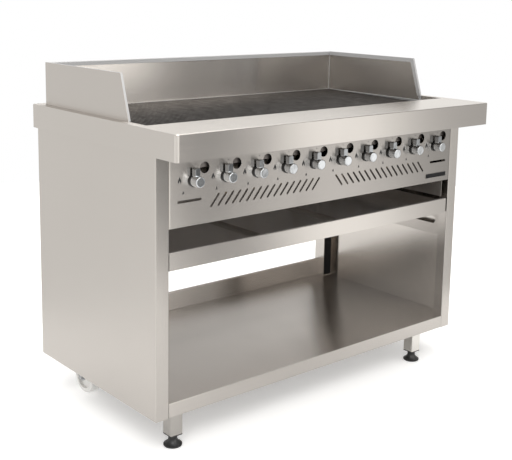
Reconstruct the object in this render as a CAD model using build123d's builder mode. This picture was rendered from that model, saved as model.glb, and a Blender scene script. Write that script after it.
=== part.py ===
from build123d import *
import os
from math import cos, radians, sin, tan

# Free-standing gas charbroiler grill, in millimetres.
# +Z is up and -Y is the cook's side. The origin is on the floor, under the centre of the worktop.

# ---- Driving dimensions ----
top_w = 1200.0  # worktop width
top_d = 722.0  # worktop depth
top_z = 850.0  # working height
apron_h = 68.0  # depth of the worktop's folded edges
side_hang = 10.0  # worktop past the cabinet at each side
front_hang = 101.0  # worktop past the cabinet in front
rear_hang = 12.0  # worktop past the cabinet behind
body_bottom = 91.0  # underside of the cabinet
shelf_z = 131.0  # top of the bottom shelf
post_w = 40.0  # width of the four folded posts
splash_h = 122.0  # splash guard above the worktop
burner_count = 10
burner_pitch = 105.5
knob_z = 710.0  # height of the knob and burner axes
grate_count = 8
tray_z = 485.0  # underside of the drip tray
tray_h = 47.0  # height of the drip tray's front strip

thick = 1.5  # heavy sheet
thin = 1.2  # light sheet
gap = 0.3  # assembly gap between neighbouring pieces
bend = 3.0  # usual bend radius

# ---- Planes and edges worked out from the driving dimensions ----
front_y = -top_d / 2 + front_hang
rear_y = top_d / 2 - rear_hang
side_x = top_w / 2 - side_hang
post_x = side_x - post_w
under_top = top_z - thick - gap
rear_hem_y = rear_y - 17.0  # rear upstand of the shelf
cut_x = top_w / 2 - 26.5  # half width of the worktop's opening
cut_front = -top_d / 2 + 166.0
cut_rear = top_d / 2 - 34.5
fire_x = 548.5  # half width of the firebox
fire_front = cut_front + 11.0
fire_rear = cut_rear - 9.0
burner_x = [(i - (burner_count - 1) / 2) * burner_pitch for i in range(burner_count)]


def save(builder, name):
    """Labels a finished piece and writes it."""
    builder.part.label = name
    export_step(builder.part, f"parts/{name}.step")


def block(x_range, y_range, z_range, mode=Mode.ADD):
    """A box given by its extent along each axis."""
    with BuildSketch(Plane.XY.offset(z_range[0])) as profile:
        with Locations(((x_range[0] + x_range[1]) / 2, (y_range[0] + y_range[1]) / 2)):
            Rectangle(x_range[1] - x_range[0], y_range[1] - y_range[0])
    extrude(profile.sketch, amount=z_range[1] - z_range[0], mode=mode)


def rod(start, direction, radius, length, mode=Mode.ADD):
    """A round bar or, subtracted, a round hole."""
    with BuildSketch(Plane(origin=start, z_dir=direction)) as profile:
        Circle(radius)
    extrude(profile.sketch, amount=length, mode=mode)


def folded(plane, points, width, amount, radius=bend):
    """Sheet metal: a bent line given a thickness, then pulled along the fold."""
    with BuildSketch(plane) as profile:
        with BuildLine():
            FilletPolyline(*points, radius=radius)
        trace(line_width=width)
    extrude(profile.sketch, amount=amount)


# ---- Worktop: one folded sheet with deep aprons and a grate opening ----
corner_r = 8.0
return_w = 8.0  # inward return under the aprons

with BuildPart() as worktop:
    with BuildSketch(Plane.XY.offset(top_z - apron_h)):
        RectangleRounded(top_w, top_d, corner_r)
    extrude(amount=apron_h)
    fillet(worktop.faces().sort_by(Axis.Z)[-1].edges(), radius=bend)
    with BuildSketch(Plane.XY.offset(top_z - apron_h + thin)):
        RectangleRounded(top_w - 2 * thick, top_d - 2 * thick, corner_r - thick)
    extrude(amount=apron_h - thick - thin, mode=Mode.SUBTRACT)
    with BuildSketch(Plane.XY.offset(top_z - apron_h)):
        RectangleRounded(top_w - 2 * return_w, top_d - 2 * return_w, bend)
    extrude(amount=thin, mode=Mode.SUBTRACT)
    block((-cut_x, cut_x), (cut_front, cut_rear), (top_z - 2 * thick, top_z), mode=Mode.SUBTRACT)
save(worktop, "worktop")

# ---- Splash guard: three walls that pass down through the opening, hemmed along every free edge ----
splash_x = cut_x - 0.5
splash_rear = cut_rear - 0.5
splash_foot = top_z - 28.0
splash_top = top_z + splash_h
splash_low_y = -top_d / 2 + 248.0  # front end of the side walls at the worktop
splash_high_y = splash_low_y + 38.0  # front end of the side walls at the top
hem_w = 6.0  # how far the hem stands in from the wall
hem_h = 13.0  # how far the hem turns back along the wall
wall_front = [(splash_low_y, splash_foot), (splash_low_y, top_z), (splash_high_y, splash_top)]
drip_lip_w = 4.0  # narrow lip along the inside, just above the grates
drip_lip_z = top_z - 16.0

with BuildPart() as splash_guard:
    # back wall with its hem
    back_y = splash_rear - thick / 2
    folded(
        Plane.YZ.offset(-splash_x),
        [
            (back_y, splash_foot),
            (back_y, splash_top - thick / 2),
            (back_y - hem_w, splash_top - thick / 2),
            (back_y - hem_w, splash_top - hem_h),
        ],
        thick,
        2 * splash_x,
        radius=1.5,
    )
    for side in (-1, 1):
        wall_x = side * splash_x - (thick if side > 0 else 0)
        # side wall
        with BuildSketch(Plane.YZ.offset(wall_x)):
            with BuildLine():
                Polyline(
                    (splash_rear, splash_foot), *wall_front, (splash_rear, splash_top), close=True
                )
            make_face()
        extrude(amount=thick)
        # the edge of the hem, then its return strip, both following the slanted front end
        for depth, start, width in ((thick, 0.0, hem_w), (hem_h, hem_w - thick / 2, thick)):
            strip_x = side * (splash_x - start) - (width if side > 0 else 0)
            with BuildSketch(Plane.YZ.offset(strip_x)):
                with BuildLine():
                    Polyline(
                        (splash_rear, splash_top),
                        wall_front[2],
                        wall_front[1],
                        (splash_low_y + depth, top_z),
                        (splash_high_y + depth, splash_top - depth),
                        (splash_rear, splash_top - depth),
                        close=True,
                    )
                make_face()
            extrude(amount=width)
    # drip lip along the inside of the three walls
    lip_out = splash_x - thick / 2
    lip_in = splash_x - thick - drip_lip_w
    lip_rear = splash_rear - thick - drip_lip_w
    lip_z_range = (drip_lip_z, drip_lip_z + thick)
    block((-lip_out, lip_out), (lip_rear, splash_rear - thick / 2), lip_z_range)
    for side in (-1, 1):
        block(sorted((side * lip_in, side * lip_out)), (splash_low_y, lip_rear + 1), lip_z_range)
save(splash_guard, "splash_guard")

# ---- Side panels: outer skin, front post and rear channel post in one folded sheet ----
post_return = 33.0  # front post's return into the cabinet
channel_return = 48.0  # rear post's flange towards the front
supply_x = 571.0  # gas pipe between the firebox and the side skin
supply_z = 672.0
flange_cut_z = 780.0  # the rear posts' flanges stop here, below the firebox lip and the grates


def side_outline(side):
    """Plan view of the folded sheet, on its centre line."""
    half = thin / 2
    skin = side * (side_x - half)
    inner = side * (post_x + half)
    return [
        (inner, front_y + post_return),
        (inner, front_y + half),
        (skin, front_y + half),
        (skin, rear_y - half),
        (inner, rear_y - half),
        (inner, rear_y - channel_return),
    ]


def side_sheet(side):
    """The folded side, cut back beside the grates."""
    folded(Plane.XY.offset(body_bottom), side_outline(side), thin, under_top - body_bottom, radius=1.8)
    flange = sorted((side * (post_x - 5.0), side * (cut_x + 2.0)))
    block(flange, (rear_y - channel_return - 1, rear_y - thin - gap), (flange_cut_z, top_z), Mode.SUBTRACT)


with BuildPart() as side_panel_left:
    side_sheet(-1)
save(side_panel_left, "side_panel_left")

with BuildPart() as side_panel_right:
    side_sheet(1)
    rod((supply_x, rear_y + 1, supply_z), (0, -1, 0), 14.5, 6, mode=Mode.SUBTRACT)
save(side_panel_right, "side_panel_right")

# ---- Bottom shelf: front fold, rear upstand, notched round the posts ----
upstand_top = shelf_z + 61.0
shelf_half = side_x - thin - gap
notch_x = post_x - gap

with BuildPart() as bottom_shelf:
    block((-shelf_half, shelf_half), (front_y, rear_hem_y + thin), (shelf_z - thin, shelf_z))
    for side in (-1, 1):
        corner = sorted((side * notch_x, side * side_x))
        back_notch = rear_y - channel_return - gap
        block(corner, (front_y, front_y + post_return + gap), (body_bottom, shelf_z), Mode.SUBTRACT)
        block(corner, (back_notch, rear_y), (body_bottom, shelf_z), Mode.SUBTRACT)
    folded(
        Plane.YZ.offset(-notch_x),
        [
            (front_y + 5.0, body_bottom + thin / 2),
            (front_y + thin / 2, body_bottom + thin / 2),
            (front_y + thin / 2, shelf_z - thin / 2),
            (rear_hem_y + thin / 2, shelf_z - thin / 2),
            (rear_hem_y + thin / 2, upstand_top - thin / 2),
            (rear_hem_y + 9.0, upstand_top - thin / 2),
        ],
        thin,
        2 * notch_x,
        radius=2.0,
    )
save(bottom_shelf, "bottom_shelf")

# ---- Upper rear panel and the rails that join the side panels at the top ----
rear_panel_low = 450.0
rail_low = 816.0
rear_rail_low = 778.0

with BuildPart() as rear_panel:
    folded(
        Plane.YZ.offset(-notch_x),
        [
            (rear_y - 16.0, rear_panel_low + thin / 2),
            (rear_y - thin / 2, rear_panel_low + thin / 2),
            (rear_y - thin / 2, under_top),
        ],
        thin,
        2 * notch_x,
    )
save(rear_panel, "rear_panel")

with BuildPart() as top_rails:
    rail_y = front_y + thick + gap + thick / 2
    folded(
        Plane.YZ.offset(-notch_x),
        [(rail_y, rail_low), (rail_y, under_top - thick / 2), (rail_y + 28.0, under_top - thick / 2)],
        thick,
        2 * notch_x,
    )
    rail_y = rear_y - thin - gap - thick / 2
    folded(
        Plane.YZ.offset(-notch_x),
        [(rail_y, rail_low), (rail_y, rear_rail_low), (rail_y - 7.0, rear_rail_low)],
        thick,
        2 * notch_x,
        radius=2.0,
    )
save(top_rails, "top_rails")

# ---- Control panel ----
panel_low = 594.0
panel_flange = 8.0
flange_high = 812.0  # the panel's end flanges stop below the front rail
spindle_hole_r = 6.0
light_hole_r = 15.0
light_dx = 35.0  # lighting hole to the right of its knob
light_dz = 30.0  # and above it
louvre_count = 16
louvre_pitch = 24.0
louvre_first = 46.0  # centre of the innermost louvre
louvre_z = 651.0
louvre_len = 44.0
louvre_w = 6.0
louvre_lean = 40.0  # degrees from upright, leaning out from the middle
level_slot_x = (-487.0, 490.0)
level_slot_z = 659.5
level_slot_len = 76.0
level_slot_w = 7.0
panel_left = -post_x + gap
panel_right = post_x - 1.5

with BuildPart() as control_panel:
    # face with a flange at each end, then the fold along its lower edge
    folded(
        Plane.XY.offset(panel_low),
        [
            (panel_left + thick / 2, front_y + panel_flange),
            (panel_left + thick / 2, front_y + thick / 2),
            (panel_right - thick / 2, front_y + thick / 2),
            (panel_right - thick / 2, front_y + panel_flange),
        ],
        thick,
        flange_high - panel_low,
        radius=2.0,
    )
    folded(
        Plane.YZ.offset(panel_left + bend),
        [
            (front_y + panel_flange, panel_low + thick / 2),
            (front_y + thick / 2, panel_low + thick / 2),
            (front_y + thick / 2, under_top),
        ],
        thick,
        panel_right - panel_left - 2 * bend,
        radius=2.0,
    )
    with BuildSketch(Plane.XZ.offset(-front_y + 1)) as openings:
        for x in burner_x:
            with Locations((x, knob_z)):
                Circle(spindle_hole_r)
            with Locations((x + light_dx, knob_z + light_dz)):
                Circle(light_hole_r)
        for i in range(louvre_count):
            centre_x = louvre_first + i * louvre_pitch
            with Locations(Location((-centre_x, louvre_z), 90 - louvre_lean)):
                SlotOverall(louvre_len, louvre_w)
            with Locations(Location((centre_x, louvre_z), 90 + louvre_lean)):
                SlotOverall(louvre_len, louvre_w)
        with Locations(*[(x, level_slot_z) for x in level_slot_x]):
            SlotOverall(level_slot_len, level_slot_w)
    extrude(amount=-(thick + 2), mode=Mode.SUBTRACT)
save(control_panel, "control_panel")

# ---- Baffle behind the upper halves of the lighting holes, and the badge ----
baffle_low = knob_z + light_dz - 1.0
baffle_high = baffle_low + 45.0
baffle_y = front_y + 10.0
baffle_half = panel_right - bend - gap

with BuildPart() as panel_baffle:
    folded(
        Plane.YZ.offset(-baffle_half),
        [
            (baffle_y, baffle_low),
            (baffle_y, baffle_high),
            (front_y + thick + gap, baffle_high),
        ],
        thin,
        2 * baffle_half,
        radius=2.0,
    )
save(panel_baffle, "panel_baffle")

badge_x = 482.0
badge_z = 616.0
badge_w = 100.0
badge_h = 16.0

with BuildPart() as badge_plate:
    with BuildSketch(Plane.XZ.offset(-front_y)):
        with Locations((badge_x, badge_z)):
            RectangleRounded(badge_w, badge_h, 2.0)
    extrude(amount=1.0)
    fillet(badge_plate.faces().sort_by(Axis.Y)[0].edges(), radius=0.4)
save(badge_plate, "badge_plate")

# ---- Knobs: chromed handle with a grip and its spindle, and a black collar behind ----
collar_t = 4.0
collar_r = 16.0
collar_gap = 0.5
handle_r = 14.5
handle_len = 26.0
grip_w = 15.5
grip_reach = 34.0  # end of the grip above the axis
grip_depth = 14.0
spindle_r = 4.0
spindle_bore_r = 4.06
spindle_end = front_y + 28.0
collar_back = front_y - collar_gap
handle_back = collar_back - collar_t


def knob_plane(x, y):
    """Plane facing the cook, with the knob's axis at its origin."""
    return Plane(origin=(x, y, knob_z), x_dir=(1, 0, 0), z_dir=(0, -1, 0))


for number, x in enumerate(burner_x, start=1):
    with BuildPart() as knob_collar:
        with BuildSketch(knob_plane(x, collar_back)):
            Circle(collar_r)
            Circle(spindle_r + 0.02, mode=Mode.SUBTRACT)
        extrude(amount=collar_t)
    save(knob_collar, f"knob_collar_{number}")

    with BuildPart() as knob:
        with BuildSketch(knob_plane(x, handle_back)) as outline:
            Circle(handle_r - 0.5)
            with Locations((0, grip_reach / 2)):
                Rectangle(grip_w, grip_reach)
            fillet(outline.vertices().group_by(Axis.Y)[-1], radius=grip_w / 4)
        extrude(amount=grip_depth)
        fillet(knob.faces().sort_by(Axis.Y)[0].edges(), radius=1.2)
        with BuildSketch(knob_plane(x, handle_back)):
            Circle(handle_r)
        extrude(amount=handle_len)
        fillet(knob.faces().sort_by(Axis.Y)[0].edges(), radius=3.0)
        rod((x, handle_back, knob_z), (0, 1, 0), spindle_r, spindle_end - handle_back)
    save(knob, f"knob_{number}")

# ---- Gas train: manifold, valves, injectors, supply pipe ----
pipe_r = 13.45
pipe_bore_r = 10.8
pipe_end_r = 13.2
pipe_end_len = 10.0
manifold_y = -200.0
manifold_half = 510.0
valve_w = 26.0
valve_front = front_y + 14.0
valve_back = front_y + 44.0
valve_low = supply_z - 11.0
valve_high = knob_z + 14.0
boss_r = 8.0
boss_len = 12.0
stub_r = 6.0
jet_r = 5.0
burner_mouth = -196.0

with BuildPart() as gas_manifold:
    rod((-manifold_half, manifold_y, supply_z), (1, 0, 0), pipe_r, 2 * manifold_half + 15)
    bore_start = (-manifold_half + 4, manifold_y, supply_z)
    rod(bore_start, (1, 0, 0), pipe_bore_r, 2 * manifold_half + 20, Mode.SUBTRACT)
    for x in burner_x:
        rod((x, manifold_y, supply_z), (0, -1, 0), stub_r, 2 * pipe_r, Mode.SUBTRACT)
save(gas_manifold, "gas_manifold")

with BuildPart() as gas_valves:
    for x in burner_x:
        block((x - valve_w / 2, x + valve_w / 2), (valve_front, valve_back), (valve_low, valve_high))
    fillet(gas_valves.edges().filter_by(Axis.Y), radius=4)
    for x in burner_x:
        # boss towards the panel, spindle bore, and the stub into the manifold
        rod((x, valve_front, knob_z), (0, -1, 0), boss_r, boss_len)
        bore_front = valve_front - boss_len - 1
        bore_len = spindle_end + 5 - bore_front
        rod((x, bore_front, knob_z), (0, 1, 0), spindle_bore_r, bore_len, Mode.SUBTRACT)
        rod((x, valve_back, supply_z), (0, 1, 0), stub_r - 0.05, manifold_y - pipe_bore_r - valve_back)
save(gas_valves, "gas_valves")

with BuildPart() as injectors:
    for x in burner_x:
        rod((x, valve_back, knob_z), (0, 1, 0), jet_r, burner_mouth + 4 - valve_back)
        rod((x, valve_back, knob_z), (0, 1, 0), boss_r, boss_len / 2)
save(injectors, "injectors")

with BuildPart() as gas_supply:
    start_x = manifold_half + 15 + gap
    with BuildLine() as route:
        FilletPolyline(
            (start_x, manifold_y, supply_z),
            (supply_x, manifold_y, supply_z),
            (supply_x, top_d / 2, supply_z),
            radius=22.0,
        )
    with BuildSketch(Plane(origin=(start_x, manifold_y, supply_z), z_dir=(1, 0, 0))):
        Circle(pipe_r)
        Circle(pipe_bore_r, mode=Mode.SUBTRACT)
    sweep(path=route.wires()[0])
    with BuildSketch(Plane(origin=(supply_x, top_d / 2, supply_z), z_dir=(0, -1, 0))):
        Circle(pipe_r + 1)
        Circle(pipe_end_r, mode=Mode.SUBTRACT)
    extrude(amount=pipe_end_len, mode=Mode.SUBTRACT)
save(gas_supply, "gas_supply")

# ---- Grates: round bars from front to back on cross bars, falling slightly towards the cook ----
bar_r = 3.5
bar_pitch = 12.8
bars_per_grate = 11
cross_r = 4.0
cross_count = 4
grate_pitch = 141.0
cross_len = bars_per_grate * bar_pitch - 1.0
grate_fall = 0.92  # degrees
grate_front = fire_front + 5.0
grate_rear = fire_rear - 3.0
grate_rear_z = top_z - 13.0 - bar_r  # bar centres at the rear ends
bar_dir = (0, cos(radians(grate_fall)), sin(radians(grate_fall)))
cross_drop = bar_r + cross_r - 0.6  # the cross bars are welded a little into the bars


def bar_z(y):
    """Height of the bar centres at a distance y."""
    return grate_rear_z - (grate_rear - y) * tan(radians(grate_fall))


cross_first = grate_front + 14.0
cross_last = grate_rear - 12.0

for number in range(1, grate_count + 1):
    centre = (number - (grate_count + 1) / 2) * grate_pitch
    with BuildPart() as grate:
        with BuildSketch(
            Plane(origin=(centre, grate_front, bar_z(grate_front)), x_dir=(1, 0, 0), z_dir=bar_dir)
        ):
            with GridLocations(bar_pitch, 1, bars_per_grate, 1):
                Circle(bar_r)
        extrude(amount=(grate_rear - grate_front) / cos(radians(grate_fall)))
        for i in range(cross_count):
            y = cross_first + i * (cross_last - cross_first) / (cross_count - 1)
            rod((centre - cross_len / 2, y, bar_z(y) - cross_drop), (1, 0, 0), cross_r, cross_len)
    save(grate, f"grate_{number}")

# ---- Firebox: side walls that funnel into the drip tray, end walls, and ledges ----
fire_top = top_z - 14.0
lip_x = cut_x - 3.5  # the side walls flare out under the grates
lip_z = top_z - 37.0
funnel_x = 530.0
funnel_high = 700.0
funnel_low = 664.0
fire_low = 538.0
wall_low = 717.0  # lower edge of the front wall
drip_front = {-1: front_y + 45.0, 1: front_y + 11.0}  # front ends of the left and right drip plates
drip_high = 640.0
ledge_w = 24.0
radiant_ledge_z = 768.0
burner_r = 19.0
burner_pin_r = 5.0
burner_rest_y = -140.0


def ledge(y, towards, top):
    """A level strip across the firebox, standing on an end wall."""
    ends = sorted((y, y + towards * ledge_w))
    block((-fire_x, fire_x), ends, (top - thick, top))


with BuildPart() as firebox:
    for side in (-1, 1):
        folded(
            Plane.XZ.offset(-fire_rear),
            [
                (side * lip_x, lip_z),
                (side * fire_x, lip_z - 22.0),
                (side * fire_x, funnel_high),
                (side * funnel_x, funnel_low),
                (side * funnel_x, fire_low),
            ],
            thin,
            fire_rear - fire_front,
            radius=2.0,
        )
        plate = sorted((side * (funnel_x - thin / 2), side * (funnel_x + thin / 2)))
        block(plate, (drip_front[side], fire_front + 1), (fire_low, drip_high))
    # end walls
    block((-fire_x, fire_x), (fire_front, fire_front + thin), (wall_low, fire_top))
    block((-fire_x, fire_x), (fire_front - 9.0, fire_front + thin), (fire_top - thin, fire_top))
    block((-fire_x, fire_x), (fire_rear - thin, fire_rear), (funnel_high, fire_top))
    block((-funnel_x, funnel_x), (fire_rear - thin, fire_rear), (fire_low, funnel_high))
    # ledges for the grates and for the radiants, and the bar under the burners
    grate_foot = cross_drop + cross_r + gap
    ledge(fire_front, 1, bar_z(cross_first) - grate_foot)
    ledge(fire_rear, -1, bar_z(cross_last) - grate_foot)
    ledge(fire_front, 1, radiant_ledge_z)
    ledge(fire_rear, -1, radiant_ledge_z)
    rest_top = knob_z - burner_r - gap
    block((-funnel_x - 6, funnel_x + 6), (burner_rest_y, burner_rest_y + 20), (rest_top - 3, rest_top))
    for x in burner_x:
        rod((x, fire_front - 2, knob_z), (0, 1, 0), burner_r + gap, 6, Mode.SUBTRACT)
        rod((x, fire_rear - 3, knob_z), (0, 1, 0), burner_pin_r + gap, 6, Mode.SUBTRACT)
save(firebox, "firebox")

# ---- Burners: closed tubes with flame ports along both sides, held by a pin at the rear ----
burner_end = fire_rear - 22.0
port_count = 19
port_first = -150.0
port_pitch = 23.0
port_r = 1.6

with BuildPart() as burners:
    for x in burner_x:
        rod((x, burner_mouth, knob_z), (0, 1, 0), burner_r, burner_end - burner_mouth)
        mouth = (x, burner_mouth - 1, knob_z)
        rod(mouth, (0, 1, 0), burner_r - 1.5, burner_end - burner_mouth - 1, Mode.SUBTRACT)
        rod((x, burner_end, knob_z), (0, 1, 0), burner_pin_r, fire_rear + 4 - burner_end)
    for x in burner_x:
        with BuildSketch(Plane.YZ.offset(x - burner_r - 1)):
            with Locations((port_first + (port_count - 1) * port_pitch / 2, knob_z + 8)):
                with GridLocations(port_pitch, 1, port_count, 1):
                    Circle(port_r)
        extrude(amount=2 * burner_r + 2, mode=Mode.SUBTRACT)
save(burners, "burners")

# ---- Radiants: inverted folded covers over the burners ----
radiant_half = 36.0
radiant_h = 26.0

with BuildPart() as radiants:
    foot = radiant_ledge_z + thick
    for x in burner_x:
        folded(
            Plane.XZ.offset(-(fire_rear - 6.0)),
            [(x - radiant_half, foot), (x, foot + radiant_h), (x + radiant_half, foot)],
            2.0,
            fire_rear - fire_front - 12.0,
            radius=6.0,
        )
save(radiants, "radiants")

# ---- Lighting tube across the fronts of the burners ----
tube_y = fire_front + 12.0
tube_z = 745.0
tube_r = 5.0

with BuildPart() as lighting_tube:
    rod((-funnel_x, tube_y, tube_z), (1, 0, 0), tube_r, 2 * funnel_x)
    rod((-funnel_x - 1, tube_y, tube_z), (1, 0, 0), tube_r - 1, 2 * funnel_x - 3, Mode.SUBTRACT)
save(lighting_tube, "lighting_tube")

# ---- Drip tray ----
tray_left = -549.0
tray_right = 542.0
tray_rear = 300.0
tray_side_h = 38.0
partition_x = (-145.0, 170.0)
partition_h = 11.0
partition_w = 4.0

with BuildPart() as drip_tray:
    block((tray_left, tray_right), (front_y, tray_rear), (tray_z, tray_z + tray_side_h))
    block(
        (tray_left + thin, tray_right - thin),
        (front_y + thin, tray_rear - thin),
        (tray_z + thin, tray_z + tray_h),
        mode=Mode.SUBTRACT,
    )
    folded(
        Plane.YZ.offset(tray_left),
        [
            (front_y + thin / 2, tray_z),
            (front_y + thin / 2, tray_z + tray_h - thin / 2),
            (front_y + 8.0, tray_z + tray_h - thin / 2),
        ],
        thin,
        tray_right - tray_left,
        radius=1.5,
    )
    for x in partition_x:
        ridge = (x - partition_w / 2, x + partition_w / 2)
        block(ridge, (front_y + thin / 2, tray_rear - thin / 2), (tray_z + thin / 2, tray_z + partition_h))
save(drip_tray, "drip_tray")

# ---- Tray runners: a slotted upright with a ledge on top, tied to the side skin at both ends ----
runner_x = 565.0
runner_low = 398.0
runner_front = front_y + post_return + 1.0
runner_rear = rear_y - channel_return - 1.0
runner_slot_len = 330.0
runner_slot_h = 24.0
runner_slot_z = 445.0

with BuildPart() as tray_runners:
    for side in (-1, 1):
        upright = sorted((side * (runner_x - thick), side * runner_x))
        shelf = sorted((side * (runner_x - 30.0), side * runner_x))
        tie = sorted((side * (runner_x - thick), side * (side_x - thin - gap)))
        ledge_top = tray_z - gap
        block(upright, (runner_front, runner_rear), (runner_low, ledge_top))
        block(shelf, (runner_front, runner_rear), (ledge_top - thick, ledge_top))
        block(tie, (runner_front, runner_front + thick), (runner_low, ledge_top))
        block(tie, (runner_rear - thick, runner_rear), (runner_low, ledge_top))
        with BuildSketch(Plane.YZ.offset(upright[0] - 1)):
            with Locations((runner_front + 22 + runner_slot_len / 2, runner_slot_z)):
                SlotOverall(runner_slot_len, runner_slot_h)
        extrude(amount=thick + 2, mode=Mode.SUBTRACT)
save(tray_runners, "tray_runners")

# ---- Front legs, their end caps and the levelling feet ----
leg_size = 38.0
leg_low = 34.0
leg_y = -234.0
leg_x = {"left": -519.0, "right": 436.0}
leg_high = shelf_z - thin - gap
cap_rim = 3.0
cap_plug = 20.0
stem_r = 5.0
stem_bore_r = 5.06
stem_top = 80.0
foot_r = 25.0
neck_r = 12.0

with BuildPart() as front_legs:
    with BuildSketch(Plane.XY.offset(leg_low)):
        with Locations(*[(x, leg_y) for x in leg_x.values()]):
            RectangleRounded(leg_size, leg_size, 3.0)
            RectangleRounded(leg_size - 2 * thick, leg_size - 2 * thick, 1.5, mode=Mode.SUBTRACT)
    extrude(amount=leg_high - leg_low)
save(front_legs, "front_legs")

with BuildPart() as leg_caps:
    with BuildSketch(Plane.XY.offset(leg_low - cap_rim)):
        with Locations(*[(x, leg_y) for x in leg_x.values()]):
            RectangleRounded(leg_size, leg_size, 3.0)
    extrude(amount=cap_rim)
    plug = leg_size - 2 * thick - 2 * gap
    with BuildSketch(Plane.XY.offset(leg_low)):
        with Locations(*[(x, leg_y) for x in leg_x.values()]):
            RectangleRounded(plug, plug, 1.2)
    extrude(amount=cap_plug)
    for x in leg_x.values():
        rod((x, leg_y, 0), (0, 0, 1), stem_bore_r, leg_low + cap_plug + 1, Mode.SUBTRACT)
save(leg_caps, "leg_caps")

for name, x in leg_x.items():
    with BuildPart() as foot:
        neck_top = leg_low - cap_rim - 0.5
        with BuildSketch(Plane(origin=(x, leg_y, 0), x_dir=(1, 0, 0), z_dir=(0, -1, 0))):
            with BuildLine():
                Polyline((0, 0), (foot_r - 1, 0), (foot_r, 1.5), (foot_r, 5))
                ThreePointArc((foot_r, 5), (16.5, 11.0), (neck_r, 19.0))
                Polyline((neck_r, 19.0), (neck_r, neck_top - 1), (neck_r - 1, neck_top))
                Polyline((neck_r - 1, neck_top), (stem_r, neck_top), (stem_r, stem_top))
                Polyline((stem_r, stem_top), (0, stem_top), (0, 0))
            make_face()
        revolve(axis=Axis((x, leg_y, 0), (0, 0, 1)))
    save(foot, f"foot_{name}")

# ---- Rear castors: plate with kingpin, swivel fork, axle bolt, wheel ----
castor_x = 520.0
castor_y = 233.0
trail = 33.0
wheel_r = 50.0
wheel_w = 32.0
race_r = 23.0
crown_r = 27.0
plate_w = 84.0
plate_d = 100.0
plate_t = 3.0
plate_low = shelf_z - thin - gap - plate_t
bolt_dx = 60.0
bolt_dy = 80.0
pin_r = 6.0
pin_bore_r = 6.06
fork_top = 117.0
fork_crown = 9.0
fork_half = 22.0
fork_t = 3.0
axle_r = 5.0
axle_bore_r = 5.06
axle_y = castor_y - trail

with BuildPart() as castor_plates:
    for x in (-castor_x, castor_x):
        with BuildSketch(Plane.XY.offset(plate_low)):
            with Locations((x, castor_y)):
                RectangleRounded(plate_w, plate_d, 8.0)
                with GridLocations(bolt_dx, bolt_dy, 2, 2):
                    Circle(4.3, mode=Mode.SUBTRACT)
        extrude(amount=plate_t)
        rod((x, castor_y, plate_low), (0, 0, -1), race_r, plate_low - fork_top - gap)
        rod((x, castor_y, plate_low), (0, 0, -1), pin_r, plate_low - fork_top + fork_crown + 2.5)
save(castor_plates, "castor_plates")

with BuildPart() as castor_bolts:
    for x in (-castor_x, castor_x):
        with Locations((x, castor_y, 0)):
            with GridLocations(bolt_dx, bolt_dy, 2, 2):
                with Locations((0, 0, plate_low - gap)):
                    Cylinder(4.0, plate_t + gap, align=(Align.CENTER, Align.CENTER, Align.MIN))
                with Locations((0, 0, plate_low - gap)):
                    Cylinder(6.5, 5.0, align=(Align.CENTER, Align.CENTER, Align.MAX))
save(castor_bolts, "castor_bolts")

for name, x in (("left", -castor_x), ("right", castor_x)):
    with BuildPart() as castor_fork:
        with BuildSketch(Plane.XY.offset(fork_top - fork_crown)):
            with Locations((x, castor_y)):
                Circle(crown_r)
        extrude(amount=fork_crown)
        for leg_side in (-1, 1):
            inner = x + leg_side * (fork_half - fork_t) - (fork_t if leg_side < 0 else 0)
            with BuildSketch(Plane.YZ.offset(inner)):
                with BuildLine():
                    Polyline(
                        (castor_y + 17.0, fork_top - fork_crown + 1),
                        (castor_y - 17.0, fork_top - fork_crown + 1),
                        (axle_y - 13.0, wheel_r + 4.0),
                    )
                    ThreePointArc(
                        (axle_y - 13.0, wheel_r + 4.0),
                        (axle_y, wheel_r - 13.0),
                        (axle_y + 13.0, wheel_r),
                    )
                    Line((axle_y + 13.0, wheel_r), (castor_y + 17.0, fork_top - fork_crown + 1))
                make_face()
            extrude(amount=fork_t)
        rod((x, castor_y, 0), (0, 0, 1), pin_bore_r, fork_top + 1, Mode.SUBTRACT)
        rod((x - 30, axle_y, wheel_r), (1, 0, 0), axle_r + 0.02, 60, Mode.SUBTRACT)
    save(castor_fork, f"castor_fork_{name}")

    with BuildPart() as castor_axle:
        rod((x - fork_half - 3, axle_y, wheel_r), (1, 0, 0), axle_r, 2 * fork_half + 6)
        for end in (-1, 1):
            head = Plane(origin=(x + end * (fork_half + gap), axle_y, wheel_r), z_dir=(end, 0, 0))
            with BuildSketch(head):
                RegularPolygon(8.5, 6)
            extrude(amount=5.0)
    save(castor_axle, f"castor_axle_{name}")

    with BuildPart() as castor_wheel:
        with BuildSketch(Plane.YZ.offset(x - wheel_w / 2)):
            with Locations((axle_y, wheel_r)):
                Circle(wheel_r)
        extrude(amount=wheel_w)
        fillet(castor_wheel.edges(), radius=4.0)
        for start, direction in ((x - wheel_w / 2, 1), (x + wheel_w / 2, -1)):
            with BuildSketch(Plane(origin=(start, axle_y, wheel_r), z_dir=(direction, 0, 0))):
                Circle(37.0)
                Circle(13.0, mode=Mode.SUBTRACT)
            extrude(amount=8.0, mode=Mode.SUBTRACT)
        rod((x - wheel_w, axle_y, wheel_r), (1, 0, 0), axle_bore_r, 2 * wheel_w, Mode.SUBTRACT)
    save(castor_wheel, f"castor_wheel_{name}")
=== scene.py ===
"""Looks of the free-standing charbroiler: metals, plastics, printed marks, weld beads and small fixings."""

from math import cos, pi, radians, sin

import bmesh
import bpy
from mathutils import Matrix, Vector, noise


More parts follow.
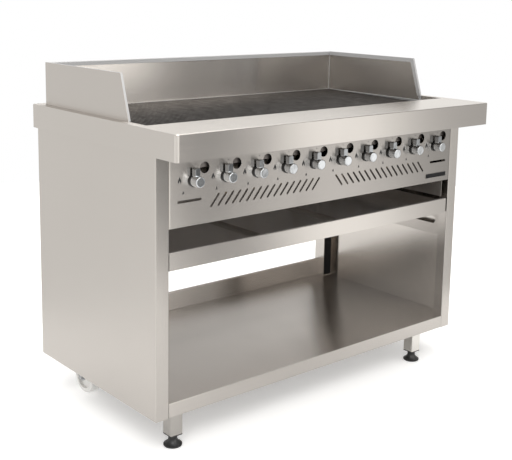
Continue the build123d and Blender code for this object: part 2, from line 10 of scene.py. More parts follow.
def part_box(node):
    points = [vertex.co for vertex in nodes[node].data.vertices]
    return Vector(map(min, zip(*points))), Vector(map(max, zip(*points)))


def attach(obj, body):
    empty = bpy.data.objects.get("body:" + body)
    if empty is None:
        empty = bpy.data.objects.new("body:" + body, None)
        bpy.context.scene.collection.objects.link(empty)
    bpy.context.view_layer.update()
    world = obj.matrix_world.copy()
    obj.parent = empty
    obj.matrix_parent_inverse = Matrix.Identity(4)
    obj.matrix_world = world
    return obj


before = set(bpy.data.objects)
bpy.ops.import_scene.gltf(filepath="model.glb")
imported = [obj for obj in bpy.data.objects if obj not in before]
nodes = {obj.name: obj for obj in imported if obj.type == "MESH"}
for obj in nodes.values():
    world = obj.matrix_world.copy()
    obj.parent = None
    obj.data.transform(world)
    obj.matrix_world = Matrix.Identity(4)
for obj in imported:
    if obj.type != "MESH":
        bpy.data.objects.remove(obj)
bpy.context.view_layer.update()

MM = 0.001
scene = bpy.context.scene
scene.view_settings.view_transform = "Standard"


# ---------------------------------------------------------------- materials


def rgb(r, g, b):
    return (r, g, b, 1.0)


def shade(colour, k):
    """A colour made k times as bright."""
    return rgb(*(min(1.0, c * k) for c in colour[:3]))


GRAIN_ALONG = 5.0  # noise cells per metre along the grain of brushed sheet
GRAIN_ACROSS = 900.0  # and across it
STREAK_ACROSS = 90.0  # the same for its broader streaks
GRAIN_DEPTH = 0.01 * MM
LEVEL = 0.7  # a face whose normal has more than this along an axis looks along that axis
PAINTED_SHADE_LEVEL = 0.42  # brightness of steel under full painted shade, against plain steel
EDGE_HIGHLIGHT = rgb(0.51, 0.51, 0.515)  # painted highlight: pale grey for rolled edges, so they read as lit from every side


class Shader:
    """One material, written as a chain of nodes."""

    def __init__(self, name):
        self.material = bpy.data.materials.new(name)
        self.material.use_nodes = True
        self.tree = self.material.node_tree
        self.surface = self.tree.nodes["Principled BSDF"]
        self.place = self.add("ShaderNodeTexCoord").outputs["Object"]
        self.normal = self.add("ShaderNodeNewGeometry").outputs["Normal"]

    def add(self, kind, **settings):
        node = self.tree.nodes.new(kind)
        for key, value in settings.items():
            setattr(node, key, value)
        return node

    def feed(self, socket, value):
        if isinstance(value, bpy.types.NodeSocket):
            self.tree.links.new(value, socket)
        else:
            socket.default_value = value

    def math(self, operation, a, b=0.0, c=0.0):
        node = self.add("ShaderNodeMath", operation=operation)
        for socket, value in zip(node.inputs, (a, b, c)):
            self.feed(socket, value)
        return node.outputs[0]

    def split(self, vector):
        node = self.add("ShaderNodeSeparateXYZ")
        self.feed(node.inputs[0], vector)
        return node.outputs

    def join(self, x, y, z):
        node = self.add("ShaderNodeCombineXYZ")
        for socket, value in zip(node.inputs, (x, y, z)):
            self.feed(socket, value)
        return node.outputs[0]

    def noise(self, vector, scale, detail=2.0, roughness=0.5):
        """A noise value whose average is about zero."""
        node = self.add("ShaderNodeTexNoise")
        self.feed(node.inputs["Vector"], vector)
        node.inputs["Scale"].default_value = scale
        node.inputs["Detail"].default_value = detail
        node.inputs["Roughness"].default_value = roughness
        return self.math("SUBTRACT", node.outputs["Fac"], 0.5)

    def mix(self, factor, a, b):
        """Between two colours."""
        node = self.add("ShaderNodeMix", data_type="RGBA")
        self.feed(node.inputs[0], factor)
        self.feed(node.inputs[6], a)
        self.feed(node.inputs[7], b)
        return node.outputs[2]

    def between(self, factor, a, b):
        """Between two numbers."""
        node = self.add("ShaderNodeMix")
        self.feed(node.inputs[0], factor)
        self.feed(node.inputs[2], a)
        self.feed(node.inputs[3], b)
        return node.outputs[0]

    def ramp(self, value, low, high):
        """0 below low, 1 above high."""
        node = self.add("ShaderNodeMapRange")
        for socket, number in zip(node.inputs, (value, low, high, 0.0, 1.0)):
            self.feed(socket, number)
        return node.outputs[0]

    def sum(self, base, *terms):
        """base plus each (value, weight)."""
        total = base
        for value, weight in terms:
            total = self.math("MULTIPLY_ADD", value, weight, total)
        return total

    def level_mask(self):
        """1 on level faces, whichever way they look, and 0 on walls."""
        return self.math("GREATER_THAN", self.math("ABSOLUTE", self.split(self.normal)[2]), LEVEL)

    def bump(self, height, depth):
        node = self.add("ShaderNodeBump")
        node.inputs["Distance"].default_value = depth
        self.feed(node.inputs["Height"], height)
        self.feed(self.surface.inputs["Normal"], node.outputs[0])

    def finish(self, **inputs):
        for key, value in inputs.items():
            self.feed(self.surface.inputs[key.replace("_", " ")], value)
        return self.material


def brushed(
    name, colour, rough=0.22, contrast=0.5, upright=False, pull=1.0, soiled=None, highlight_edges=None, film_and_painted_shade=None
):
    """Stainless sheet: fine grain along the sheet, long streaks, faint smears, and stretched reflections.

    upright turns the grain of a wall, pull is how far reflections stretch, and soiled is the colour of dirty
    level faces. The last two are functions giving a shader's masks of edges painted bright and of painted
    shade.
    """
    s = Shader(name)
    x, y, z = s.split(s.place)
    level = s.level_mask()
    across = s.between(level, z, y)
    along = s.between(level, s.math("ADD", x, y), x)
    if upright:
        along, across = across, along
    grain = s.join(s.math("MULTIPLY", along, GRAIN_ALONG), s.math("MULTIPLY", across, GRAIN_ACROSS), 0.0)
    fine = s.noise(grain, 1.0, 3.0, 0.6)
    streak = s.noise(s.join(along, s.math("MULTIPLY", across, STREAK_ACROSS), 0.3), 1.0, 3.0, 0.6)
    smear = s.noise(s.place, 3.2, 3.0, 0.55)
    haze = s.noise(s.place, 11.0, 2.0)
    tone = s.sum(0.5, (streak, 0.2 * contrast), (smear, 0.6 * contrast), (fine, 0.2 * contrast))
    base = s.mix(tone, shade(colour, 0.90), shade(colour, 1.08))
    finish = s.sum(rough, (fine, 0.03), (streak, 0.02), (smear, 0.05), (haze, 0.03))
    s.bump(fine, GRAIN_DEPTH)
    steep = s.math("SUBTRACT", 1.0, level)
    tangent = s.join(0.0, level, steep)
    s.feed(s.surface.inputs["Tangent"], tangent)
    metal = 1.0
    if soiled:
        # level faces that hold fat and ash are darker, browner and duller
        stain = s.ramp(s.noise(s.place, 9.0, 4.0, 0.6), -0.16, 0.14)
        dirt = s.math("MULTIPLY", level, s.sum(0.75, (stain, 0.25)))
        base = s.mix(dirt, base, soiled)
        metal = s.sum(1.0, (dirt, -0.35))
        finish = s.sum(finish, (dirt, -0.08))
    # painted shade: where the mask asks, the steel darkens towards its shaded copy
    if film_and_painted_shade:
        base = s.mix(film_and_painted_shade(s), base, shade(colour, PAINTED_SHADE_LEVEL))
    # painted highlight: on the masked edges the steel turns paler, rougher and less metallic, so it reads
    # bright
    if highlight_edges:
        highlight_mask = highlight_edges(s)
        base = s.mix(highlight_mask, base, EDGE_HIGHLIGHT)
        metal = s.sum(metal, (highlight_mask, -0.60))
        finish = s.between(highlight_mask, finish, 0.45)
        pull = s.between(highlight_mask, pull, 0.0)
    return s.finish(Base_Color=base, Metallic=metal, Roughness=finish, Anisotropic=pull)


def worn_steel(name, colour, rough, spot, spot_size, metal=1.0, top_highlight=None):
    """Plain steel with darker or browner patches, as heat or oil leaves it, and perhaps a painted highlight
    on top.
    """
    s = Shader(name)
    patch = s.ramp(s.noise(s.place, spot_size, 4.0, 0.6), -0.08, 0.16)
    grit = s.noise(s.place, 900.0, 2.0)
    broad = s.noise(s.place, spot_size * 0.22, 2.0)
    base = s.mix(patch, colour, spot)
    base = s.mix(s.sum(0.5, (broad, 1.2)), base, shade(colour, 1.25))
    if top_highlight:
        # painted highlight: the bars are painted lighter along their tops, some more than others
        crown = s.ramp(s.split(s.normal)[2], 0.70, 0.95)
        x, y, z = s.split(s.place)
        bars = s.noise(s.join(s.math("MULTIPLY", x, 60.0), s.math("MULTIPLY", y, 14.0), 0.0), 1.0, 1.0)
        highlight_share = s.ramp(s.sum(bars, (patch, -0.05)), -0.12, 0.12)
        base = s.mix(s.math("MULTIPLY", crown, s.sum(0.25, (highlight_share, 0.75))), base, top_highlight)
    finish = s.sum(rough, (grit, 0.12), (patch, 0.12), (broad, 0.15))
    s.bump(s.sum(0.0, (grit, 0.6), (patch, 0.4)), 0.2 * MM)
    return s.finish(Base_Color=base, Metallic=metal, Roughness=finish)


def moulded(name, colour, rough, sheen=0.5, grain=1400.0):
    """Moulded plastic: fine spark-eroded texture, slight shade changes and scuffs."""
    s = Shader(name)
    texture = s.noise(s.place, grain, 2.0)
    cloud = s.noise(s.place, 35.0, 3.0)
    scuff = s.ramp(s.noise(s.place, 160.0, 5.0, 0.7), 0.10, 0.22)
    base = s.mix(s.sum(0.5, (cloud, 0.9)), shade(colour, 0.85), shade(colour, 1.15))
    base = s.mix(s.math("MULTIPLY", scuff, 0.12), base, rgb(0.4, 0.4, 0.4))
    finish = s.sum(rough, (texture, 0.08), (cloud, 0.10), (scuff, 0.15))
    s.bump(texture, 0.08 * MM)
    return s.finish(Base_Color=base, Roughness=finish, Specular_IOR_Level=sheen)


def plated(name, colour, rough, darker_above):
    """Chromium plate: near mirror, with faint ripples, hair scratches and a film, darker above a height."""
    s = Shader(name)
    ripple = s.noise(s.place, 55.0, 2.0)
    film_and_painted_shade = s.noise(s.place, 130.0, 4.0, 0.6)
    stretched = [s.math("MULTIPLY", v, k) for v, k in zip(s.split(s.place), (300, 300, 3000))]
    hair = s.noise(s.join(*stretched), 1.0)
    base = s.mix(s.sum(0.5, (film_and_painted_shade, 0.8)), shade(colour, 0.9), shade(colour, 1.05))
    base = s.mix(s.ramp(s.split(s.place)[2], darker_above, darker_above + 2 * MM), base, shade(colour, 0.55))
    s.bump(s.sum(0.0, (ripple, 1.0), (hair, 0.05)), 0.25 * MM)
    return s.finish(Base_Color=base, Metallic=1.0, Roughness=s.sum(rough, (film_and_painted_shade, 0.10), (hair, 0.05)))


def galvanised(name, colour, rough):
    """Zinc plate with its crystal spangle."""
    s = Shader(name)
    cell = s.add("ShaderNodeTexVoronoi")
    s.feed(cell.inputs["Vector"], s.place)
    cell.inputs["Scale"].default_value = 170.0
    spangle = s.split(cell.outputs["Color"])[0]
    cloud = s.noise(s.place, 25.0, 3.0)
    tone = s.sum(s.math("MULTIPLY", spangle, 0.6), (cloud, 0.8))
    base = s.mix(tone, shade(colour, 0.85), shade(colour, 1.15))
    s.bump(cloud, 0.2 * MM)
    return s.finish(Base_Color=base, Metallic=0.95, Roughness=s.sum(rough, (cloud, 0.2), (spangle, 0.08)))


def ink(name, colour):
    """Screen-printed ink, a little thin in places."""
    s = Shader(name)
    thin = s.noise(s.place, 500.0, 3.0)
    base = s.mix(s.sum(0.4, (thin, 0.8)), colour, shade(colour, 2.2))
    return s.finish(Base_Color=base, Roughness=s.sum(0.45, (thin, 0.3)))


STEEL = rgb(0.68, 0.645, 0.61)
SOILED = rgb(0.74, 0.70, 0.68)
RAKE = 38 * MM  # how far the splash guard's free ends lean back
HEM = 13.3 * MM  # width of the hem along its free edges
LIP_DROP = 14.2 * MM  # the drip lip along its foot is lower than this below the worktop
SKIN = 0.4 * MM  # faces nearer than this to the guard's box are its outside
POST_W = 40 * MM  # width of the four folded posts
COLLAR_R = 16 * MM
splash_low, splash_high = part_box("splash_guard")
worktop_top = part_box("worktop")[1].z
knob_axis_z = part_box("knob_collar_1")[0].z + COLLAR_R


def splash_inside(s):
    """1 on the faces of the splash guard that look at the grates, 0 on its outside."""
    x, y, z = s.split(s.place)
    inside = s.math("LESS_THAN", s.math("ABSOLUTE", x), splash_high.x - SKIN)
    before = s.math("LESS_THAN", y, splash_high.y - SKIN)
    return s.math("MULTIPLY", inside, before)


def splash_highlight_edges(s):
    """Mask of the painted highlight: 1 on the splash guard's hem and drip lip, seen from inside, and 0
    elsewhere.
    """
    x, y, z = s.split(s.place)
    rise = splash_high.z - worktop_top
    front = s.math("MULTIPLY_ADD", z, RAKE / rise, splash_low.y - worktop_top * RAKE / rise)
    on_top = s.math("GREATER_THAN", z, splash_high.z - HEM)
    on_end = s.math("LESS_THAN", y, s.math("ADD", front, HEM))
    on_lip = s.math("LESS_THAN", z, worktop_top - LIP_DROP)
    highlight_mask = s.math("MAXIMUM", s.math("MAXIMUM", on_top, on_end), on_lip)
    return s.math("MULTIPLY", highlight_mask, splash_inside(s))


def splash_painted_shade(s):
    """Painted shade on the splash guard: even outside, none at the inner left, deepest at the inner right.
    """
    x = s.split(s.place)[0]
    cloud = s.noise(s.place, 4.0, 2.0)
    spread = s.ramp(s.sum(x, (cloud, 0.12)), 0.06, 0.36)
    return s.between(splash_inside(s), 0.48, s.math("MULTIPLY", spread, 0.83))


def panel_painted_shade(s):
    """Painted shade: the control panel is darker from its middle rightwards."""
    x = s.split(s.place)[0]
    return s.math("MULTIPLY", s.ramp(x, -0.34, -0.10), 0.66)


def front_painted_shade(s):
    """Painted shade: the left post's front face is darker, most of all near the worktop above it."""
    z = s.split(s.place)[2]
    facing = s.math("LESS_THAN", s.split(s.normal)[1], -LEVEL)
    return s.math("MULTIPLY", facing, s.sum(0.20, (s.ramp(z, 0.45, 0.70), 0.48)))


def post_painted_shade(s):
    """Painted shade: the front post's return is a little darker than the skin behind it."""
    x, y, z = s.split(s.place)
    on_return = s.math("LESS_THAN", s.math("ABSOLUTE", x), splash_high.x - POST_W / 2)
    in_front = s.math("LESS_THAN", y, -0.1)
    return s.math("MULTIPLY", s.math("MULTIPLY", on_return, in_front), 0.30)


def shelf_painted_shade(s):
    """Painted shade: the shelf is darker towards its back and right end, with a painted shadow where it
    meets the side skins.
    """
    x, y, z = s.split(s.place)
    upper = s.math("GREATER_THAN", s.split(s.normal)[2], LEVEL)
    right_end = s.math("MULTIPLY", upper, s.ramp(s.sum(x, (y, -0.45)), 0.30, 0.60))
    back = s.math("MULTIPLY", upper, s.ramp(y, -0.26, 0.10))
    joint = s.math("GREATER_THAN", s.math("ABSOLUTE", x), splash_high.x + 12 * MM)
    return s.sum(s.math("MULTIPLY", joint, 0.4), (right_end, 0.62), (back, 0.60))


def leg_painted_shade(s):
    """Painted shade: the left leg is darker than the right one."""
    return s.math("MULTIPLY", s.math("LESS_THAN", s.split(s.place)[0], 0.0), 0.78)


steel_top = brushed("steel_worktop", STEEL)
steel_side = brushed("steel_side", STEEL, film_and_painted_shade=front_painted_shade)
steel_inner = brushed("steel_side_right", STEEL, rough=0.18, pull=0.8, film_and_painted_shade=post_painted_shade)
# painted light and shade: the panel's steel is a little brighter, with painted shade from its middle
# rightwards
steel_panel = brushed("steel_panel", shade(STEEL, 1.05), film_and_painted_shade=panel_painted_shade)
# painted light: the splash guard's steel is 1.3 times as bright, and painted shade brings it down outside
# and at the inner right
steel_splash = brushed("steel_splash", shade(STEEL, 1.3), rough=0.20, highlight_edges=splash_highlight_edges, film_and_painted_shade=splash_painted_shade)
steel_shelf = brushed("steel_shelf", shade(STEEL, 0.97), contrast=0.8, film_and_painted_shade=shelf_painted_shade)
steel_back = brushed("steel_back", shade(STEEL, 0.92))
steel_tray = brushed("steel_tray", STEEL, soiled=SOILED)
# painted light: the legs' steel is 1.45 times as bright, and the left leg gets painted shade
steel_leg = brushed("steel_leg", shade(STEEL, 1.45), upright=True, film_and_painted_shade=leg_painted_shade)
weld_metal = worn_steel("weld_bead", rgb(0.62, 0.62, 0.61), 0.35, rgb(0.48, 0.46, 0.43), 220.0, metal=0.4)
baffle_steel = worn_steel("baffle_steel", rgb(0.20, 0.185, 0.175), 0.45, rgb(0.12, 0.10, 0.09), 40.0)
fire_steel = worn_steel("firebox_steel", rgb(0.50, 0.48, 0.46), 0.42, rgb(0.30, 0.25, 0.21), 14.0)
burner_steel = worn_steel("burner_steel", rgb(0.58, 0.55, 0.51), 0.34, rgb(0.40, 0.33, 0.28), 26.0)
OILED = rgb(0.028, 0.024, 0.022)
# painted highlight: the colour painted along the tops of the grate bars
TOP_HIGHLIGHT = rgb(0.105, 0.098, 0.092)
grate_steel = worn_steel("grate_steel", OILED, 0.32, rgb(0.012, 0.010, 0.009), 30.0, top_highlight=TOP_HIGHLIGHT)
zinc = galvanised("zinc_plate", rgb(0.56, 0.57, 0.58), 0.38)
brass = worn_steel("valve_brass", rgb(0.26, 0.19, 0.10), 0.40, rgb(0.14, 0.10, 0.06), 60.0)
GRIP_FOOT = 13.5 * MM  # about here over its axis, a knob's grip leaves the round handle
chrome = plated("knob_chrome", rgb(0.66, 0.68, 0.70), 0.09, knob_axis_z + GRIP_FOOT)
black = moulded("black_plastic", rgb(0.018, 0.018, 0.018), 0.38)
nylon = moulded("wheel_nylon", rgb(0.80, 0.79, 0.77), 0.34, grain=700.0)
black_ink = ink("panel_ink", rgb(0.012, 0.012, 0.012))
badge_look = moulded("badge_face", rgb(0.008, 0.008, 0.009), 0.40, sheen=0.2)
# painted shadow: near-black plastic for the strips in the rear posts' mouths
shadow_strip_look = moulded("post_strip", rgb(0.010, 0.010, 0.011), 0.5, sheen=0.25)

# looks by node name, and by the start of a name for pieces that repeat
NODE_LOOKS = {
    "worktop": steel_top,
    "splash_guard": steel_splash,
    "side_panel_left": steel_side,
    "side_panel_right": steel_inner,
    "bottom_shelf": steel_shelf,
    "rear_panel": steel_back,
    "top_rails": steel_back,
    "control_panel": steel_panel,
    "panel_baffle": baffle_steel,
    "badge_plate": steel_panel,
    "drip_tray": steel_tray,
    "tray_runners": steel_back,
    "front_legs": steel_leg,
    "leg_caps": black,
    "foot_left": black,
    "foot_right": black,
    "firebox": fire_steel,
    "radiants": fire_steel,
    "burners": burner_steel,
    "lighting_tube": burner_steel,
    "gas_manifold": zinc,
    "gas_supply": zinc,
    "gas_valves": brass,
    "injectors": brass,
    "castor_plates": zinc,
    "castor_bolts": zinc,
}
PREFIX_LOOKS = {
    "grate_": grate_steel,
    "knob_collar_": black,
    "knob_": chrome,
    "castor_fork_": zinc,
    "castor_axle_": zinc,
    "castor_wheel_": nylon,
}


def look_of(name):
    if name in NODE_LOOKS:
        return NODE_LOOKS[name]
    return next(look for prefix, look in PREFIX_LOOKS.items() if name.startswith(prefix))


def split_creases(obj, degrees):
    """Smooth shading that stops at edges sharper than an angle."""
    crease = obj.modifiers.new("crease", "EDGE_SPLIT")
    crease.split_angle = radians(degrees)


for name, piece in nodes.items():
    piece.data.materials.clear()
    piece.data.materials.append(look_of(name))
    piece.data.polygons.foreach_set("use_smooth", [True] * len(piece.data.polygons))
    split_creases(piece, 28)


# ---------------------------------------------------------------- mesh pieces


def new_piece(name, bm, look, smooth=False):
    """Turns a finished bmesh, in metres in the frame of the part, into a piece that rides on the cabinet."""
    bmesh.ops.recalc_face_normals(bm, faces=bm.faces)
    mesh = bpy.data.meshes.new(name)
    bm.to_mesh(mesh)
    bm.free()
    for face in mesh.polygons:
        face.use_smooth = smooth
    obj = bpy.data.objects.new(name, mesh)
    scene.collection.objects.link(obj)
    mesh.materials.append(look)
    if smooth:
        split_creases(obj, 32)
    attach(obj, "cabinet")
    return obj


def tube_along(bm, points, radii, sides=10):
    """A closed round-section bead through points, with a radius at each."""
    rings = []
    for i, point in enumerate(points):
        ahead = points[min(i + 1, len(points) - 1)] - points[max(i - 1, 0)]
        turn = ahead.to_track_quat("Z", "Y")
        ring = []
        for k in range(sides):
            angle = 2 * pi * k / sides
            offset = Vector((cos(angle), sin(angle), 0)) * radii[i]
            ring.append(bm.verts.new(point + turn @ offset))
        rings.append(ring)
    for a, b in zip(rings, rings[1:]):
        for k in range(sides):
            bm.faces.new((a[k], a[(k + 1) % sides], b[(k + 1) % sides], b[k]))
    bm.faces.new(rings[0][::-1])
    bm.faces.new(rings[-1])


def plate_from_outline(bm, outline, place, thickness):
    """A flat plate from outline points (right, up), laid on the panel at place and standing towards -Y."""
    back = [bm.verts.new(place + Vector((x, 0, z))) for x, z in outline]
    front = [bm.verts.new(place + Vector((x, -thickness, z))) for x, z in outline]
    bm.faces.new(back)
    bm.faces.new(front[::-1])
    count = len(outline)
    for i in range(count):
        j = (i + 1) % count
        bm.faces.new((back[i], back[j], front[j], front[i]))


def thin_box(bm, x_range, y_range, z_range):
    """A closed box from its extents, for a flat strip of sheet."""
    corners = []
    for z in z_range:
        for i, j in ((0, 0), (1, 0), (1, 1), (0, 1)):
            corners.append(bm.verts.new((x_range[i], y_range[j], z)))
    for loop in ((0, 1, 2, 3), (4, 5, 6, 7), (0, 1, 5, 4), (1, 2, 6, 5), (2, 3, 7, 6), (3, 0, 4, 7)):
        bm.faces.new([corners[k] for k in loop])


def round_outline(radius, steps):
    """A disc, as outline points."""
    angles = [2 * pi * k / steps for k in range(steps)]
    return [(radius * cos(angle), radius * sin(angle)) for angle in angles]


def rounded_outline(half_w, half_h, corner):
    """A rectangle with round corners, as outline points."""
    outline = []
    for right, up, start in ((1, 1, 0), (-1, 1, 90), (-1, -1, 180), (1, -1, 270)):
        for k in range(5):
            angle = radians(start + 22.5 * k)
            across = right * (half_w - corner) + corner * cos(angle)
            outline.append((across, up * (half_h - corner) + corner * sin(angle)))
    return outline


def flame_outline(width, height):
    """A flame: pointed above, round below, with a notch cut up into its foot."""
    side = [(0.14, 0.30), (0.32, 0.08), (0.46, -0.14), (0.46, -0.32), (0.34, -0.46), (0.20, -0.50)]
    notch = [(0.17, -0.36), (0.08, -0.20)]
    half = [(0.0, 0.5)] + side + notch
    outline = half + [(0.0, -0.10)] + [(-x, z) for x, z in half[:0:-1]]
    return [(x * width, z * height) for x, z in outline]


SIDES = ((-1, "left"), (1, "right"))


def panel_marks():
    """Beside each knob a large and a small flame, and a dot above it."""
    panel_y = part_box("control_panel")[0].y
    # outline, then its place to the right of and above the knob's axis
    prints = (
        (flame_outline(11.0 * MM, 17.0 * MM), -43.5 * MM, 5.5 * MM),
        (flame_outline(6.0 * MM, 9.0 * MM), -32.0 * MM, -28.0 * MM),
        (round_outline(1.3 * MM, 14), 6.3 * MM, 42.0 * MM),
    )
    marks = bmesh.new()
    for number in range(1, 11):
        low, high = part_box(f"knob_{number}")
        x = (low.x + high.x) / 2
        for outline, right, up in prints:
            plate_from_outline(marks, outline, Vector((x + right, panel_y, knob_axis_z + up)), 0.12 * MM)
    new_piece("panel_marks", marks, black_ink)


def badge():
    """A blank black face inside the plate's bright rim."""
    low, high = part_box("badge_plate")
    centre = (low + high) / 2
    rim = 1.3 * MM
    outline = rounded_outline((high.x - low.x) / 2 - rim, (high.z - low.z) / 2 - rim, 1.6 * MM)
    face = bmesh.new()
    plate_from_outline(face, outline, Vector((centre.x, low.y, centre.z)), 0.15 * MM)
    new_piece("badge_face", face, badge_look)


def weld_beads():
    """A slightly uneven bead up each rear corner of the splash guard."""
    steps = 60
    inset = 2.1 * MM
    beads = bmesh.new()
    for side in (-1, 1):
        points = []
        radii = []
        for i in range(steps + 1):
            t = i / steps
            wobble = noise.noise(Vector((side * 3.1, t * 25.0, 0.0)))
            z = worktop_top - 14 * MM + t * (splash_high.z - worktop_top)
            points.append(Vector((side * (splash_high.x - inset), splash_high.y - inset, z)))
            radii.append((1.0 + 0.2 * wobble + 0.1 * sin(t * 190.0)) * MM)
        tube_along(beads, points, radii)
    new_piece("splash_weld_beads", beads, weld_metal, smooth=True)


def post_shadow_strips():
    """Painted shadow: black strips in the open mouths of the rear posts, between the shelf and the firebox.
    """
    skin = 1.6 * MM  # the side panel's sheet and a little air
    width = 36.8 * MM
    above_shelf, below_firebox = 42 * MM, 560 * MM  # ends of the strips above the panel's lower edge
    for side, label in SIDES:
        low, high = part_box(f"side_panel_{label}")
        outer = abs(low.x if side < 0 else high.x) - skin
        front = high.y - 46.5 * MM
        strip = bmesh.new()
        thin_box(
            strip,
            (side * (outer - width), side * outer),
            (front, front + 1 * MM),
            (low.z + above_shelf, low.z + below_firebox),
        )
        piece = new_piece(f"post_strip_{label}", strip, shadow_strip_look)
        piece.visible_glossy = False


def opening_flanges():
    """Narrow flanges folded down along the worktop's opening, in front of the splash guard."""
    sheet = 1 * MM
    length = 80 * MM
    depth = 34 * MM
    outer = splash_high.x + 0.3 * MM
    for side, label in SIDES:
        flange = bmesh.new()
        thin_box(
            flange,
            (side * (outer - sheet), side * outer),
            (splash_low.y - length, splash_low.y - sheet),
            (worktop_top - depth, worktop_top - 2 * sheet),
        )
        new_piece(f"opening_flange_{label}", flange, steel_top)


panel_marks()
badge()
weld_beads()
post_shadow_strips()
opening_flanges()


# ---------------------------------------------------------------- floor, light and camera


def floor_paint(name, pale, glow=0.0):
    """Pale matt paint with faint clouds, and a little light of its own."""
    s = Shader(name)
    speckle = s.noise(s.place, 6.0, 3.0)
    paint = rgb(pale, pale, pale)
    base = s.mix(s.sum(0.5, (speckle, 0.2)), paint, shade(paint, 1.03))
    return s.finish(Base_Color=base, Roughness=0.85, Emission_Color=base, Emission_Strength=glow)


def floor_disc(name, radius, look, drop):
    """A round floor a little below the object's feet."""
    disc = bmesh.new()
    bmesh.ops.create_circle(disc, cap_ends=True, segments=96, radius=radius)
    data = bpy.data.meshes.new(name)
    disc.to_mesh(data)
    disc.free()
    data.materials.append(look)
    obj = bpy.data.objects.new(name, data)
    obj.location.z = -drop
    scene.collection.objects.link(obj)
    return obj


# the metal sees only the nearer part of the floor, and the darker room beyond it
FLOOR_R = 3.2
NEAR_FLOOR_R = 1.25
whole_floor = floor_disc("studio_floor", FLOOR_R, floor_paint("studio_floor", 0.94, glow=0.3), 0.8 * MM)
whole_floor.visible_glossy = False
near_floor = floor_disc("studio_floor_near", NEAR_FLOOR_R, floor_paint("studio_floor_near", 0.80), 0.3 * MM)
near_floor.visible_camera = False
near_floor.visible_diffuse = False
near_floor.visible_shadow = False


def studio_world(room_bands, ceiling_bands):
    """White to the camera; to the metal, a bright room with soft upright bands of grey and a ceiling."""
    world = bpy.data.worlds.new("studio")
    world.use_nodes = True
    tree = world.node_tree
    tree.nodes.clear()

    def add(kind, **settings):
        node = tree.nodes.new(kind)
        for key, value in settings.items():
            setattr(node, key, value)
        return node

    def math(operation, a, b=0.0):
        node = add("ShaderNodeMath", operation=operation)
        for socket, value in zip(node.inputs, (a, b)):
            if isinstance(value, bpy.types.NodeSocket):
                tree.links.new(value, socket)
            else:
                socket.default_value = value
        return node.outputs[0]

    direction = add("ShaderNodeTexCoord").outputs["Generated"]
    split = add("ShaderNodeSeparateXYZ")
    tree.links.new(direction, split.inputs[0])
    # bearing: 0 towards -Y (the cook's side), growing towards +X, as a fraction of a turn
    towards_cook = math("MULTIPLY", split.outputs[1], -1.0)
    turns = math("DIVIDE", math("ARCTAN2", split.outputs[0], towards_cook), 2 * pi)
    bearing = math("FRACT", math("ADD", turns, 1.0))

    def band_colours(levels):
        bands = add("ShaderNodeValToRGB")
        tree.links.new(bearing, bands.inputs[0])
        stops = bands.color_ramp.elements
        for position, level in levels:
            stop = stops.new(position / 360.0)
            stop.color = rgb(*(level * c for c in WARM))
        stops.remove(stops[0])
        stops.remove(stops[len(stops) - 1])
        return bands.outputs[0]

    def blend(low, high, a, b):
        """From a below one elevation to b above another, both in degrees."""
        rise = add("ShaderNodeMapRange", interpolation_type="SMOOTHSTEP")
        tree.links.new(split.outputs[2], rise.inputs[0])
        rise.inputs[1].default_value = sin(radians(low))
        rise.inputs[2].default_value = sin(radians(high))
        node = add("ShaderNodeMix", data_type="RGBA")
        tree.links.new(rise.outputs[0], node.inputs[0])
        for socket, colour in ((node.inputs[6], a), (node.inputs[7], b)):
            if isinstance(colour, bpy.types.NodeSocket):
                tree.links.new(colour, socket)
            else:
                socket.default_value = colour
        return node.outputs[2]

    def background(colour, strength):
        node = add("ShaderNodeBackground")
        if isinstance(colour, bpy.types.NodeSocket):
            tree.links.new(colour, node.inputs[0])
        else:
            node.inputs[0].default_value = colour
        node.inputs[1].default_value = strength
        return node.outputs[0]

    def choose(switch, off, on):
        node = add("ShaderNodeMixShader")
        for socket, output in zip(node.inputs, (switch, off, on)):
            tree.links.new(output, socket)
        return node.outputs[0]

    walls = blend(ROOM_TO, CEILING_FROM, band_colours(room_bands), band_colours(ceiling_bands))
    whole = blend(CEILING_TO, ZENITH_FROM, walls, rgb(ZENITH, ZENITH, ZENITH))
    path = add("ShaderNodeLightPath").outputs
    to_metal = background(whole, 1.0)
    to_matt = background(rgb(1.0, 0.99, 0.97), AMBIENT)
    to_camera = background(rgb(1.0, 1.0, 1.0), 1.0)
    lit = choose(path["Is Glossy Ray"], to_matt, to_metal)
    seen = choose(path["Is Camera Ray"], lit, to_camera)
    tree.links.new(seen, add("ShaderNodeOutputWorld").inputs[0])
    scene.world = world


WARM = (1.0, 0.985, 0.96)  # tint of the room and the lamps
AMBIENT = 0.90  # light of the room on matt surfaces
ZENITH = 1.1  # brightness straight overhead, as the metal sees it
# elevations in degrees: the room's bands end, the ceiling's begin and end, and the zenith begins
ROOM_TO, CEILING_FROM, CEILING_TO, ZENITH_FROM = 8.0, 26.0, 42.0, 60.0
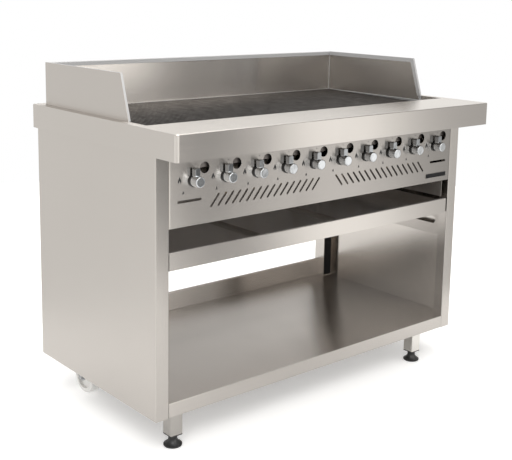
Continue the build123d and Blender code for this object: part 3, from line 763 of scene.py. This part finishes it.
# (bearing in degrees, brightness) of the room as the metal sees it, at eye height and overhead
ROOM_BANDS = (
    (0.5, 0.95),
    (33.4, 1.25),
    (34.3, 0.235),
    (40.0, 0.245),
    (41.8, 0.72),
    (42.8, 1.35),
    (48.0, 1.40),
    (50.4, 0.66),
    (54.0, 0.52),
    (75.0, 0.50),
    (110.0, 0.9),
    (125.0, 1.15),
    (132.0, 1.15),
    (138.0, 1.02),
    (146.0, 0.80),
    (170.0, 0.90),
    (200.0, 0.80),
    (217.0, 0.80),
    (223.0, 1.25),
    (240.0, 1.1),
    (290.0, 0.85),
    (359.5, 0.95),
)
CEILING_BANDS = (
    (0.5, 1.3),
    (34.2, 4.2),
    (35.2, 1.05),
    (38.0, 1.10),
    (39.2, 2.10),
    (40.8, 1.50),
    (42.6, 0.35),
    (60.0, 0.30),
    (75.0, 0.5),
    (110.0, 0.9),
    (125.0, 1.15),
    (132.0, 1.15),
    (138.0, 1.02),
    (146.0, 0.80),
    (200.0, 0.80),
    (216.0, 0.80),
    (221.0, 0.15),
    (233.0, 0.15),
    (245.0, 0.8),
    (290.0, 0.85),
    (359.5, 1.2),
)
studio_world(ROOM_BANDS, CEILING_BANDS)


def area_light(name, place, target, size, power):
    """A soft rectangular lamp that looks at a point."""
    light = bpy.data.lights.new(name, "AREA")
    light.shape = "RECTANGLE"
    light.size = size[0]
    light.size_y = size[1]
    light.energy = power
    light.color = WARM
    lamp = bpy.data.objects.new(name, light)
    lamp.location = place
    lamp.rotation_euler = (Vector(target) - Vector(place)).to_track_quat("-Z", "Y").to_euler()
    scene.collection.objects.link(lamp)


area_light("key_softbox", (-2.2, -2.4, 3.2), (0.0, 0.0, 0.5), (2.2, 2.2), 55.0)
area_light("top_softbox", (0.6, 0.4, 3.6), (0.0, 0.0, 0.6), (3.0, 2.4), 45.0)

# the camera stands at the cook's left, a little above the splash guard
EYE = Vector((-1.8630, -2.1340, 1.1834))
BEARING = 0.70457  # of the view, from +Y towards +X, in radians
TILT = 0.17059  # downwards
ROLL = 0.01715
LENS = 66.148  # on a sensor 36 wide, like the next two in camera units
LENS_DROP = -0.14984  # the picture is a part of a wider view, taken from below its middle
forward = Vector((sin(BEARING) * cos(TILT), cos(BEARING) * cos(TILT), -sin(TILT)))
right = Vector((cos(BEARING), -sin(BEARING), 0.0))
up = right.cross(forward)
rolled_right = cos(ROLL) * right + sin(ROLL) * up
rolled_up = -sin(ROLL) * right + cos(ROLL) * up
camera_data = bpy.data.cameras.new("camera")
camera_data.sensor_width = 36.0
camera_data.lens = LENS
camera_data.shift_y = LENS_DROP
camera_data.clip_end = 50.0
camera = bpy.data.objects.new("camera", camera_data)
turn = Matrix((rolled_right, rolled_up, -forward)).transposed()
camera.matrix_world = Matrix.Translation(EYE) @ turn.to_4x4()
scene.collection.objects.link(camera)
scene.camera = camera
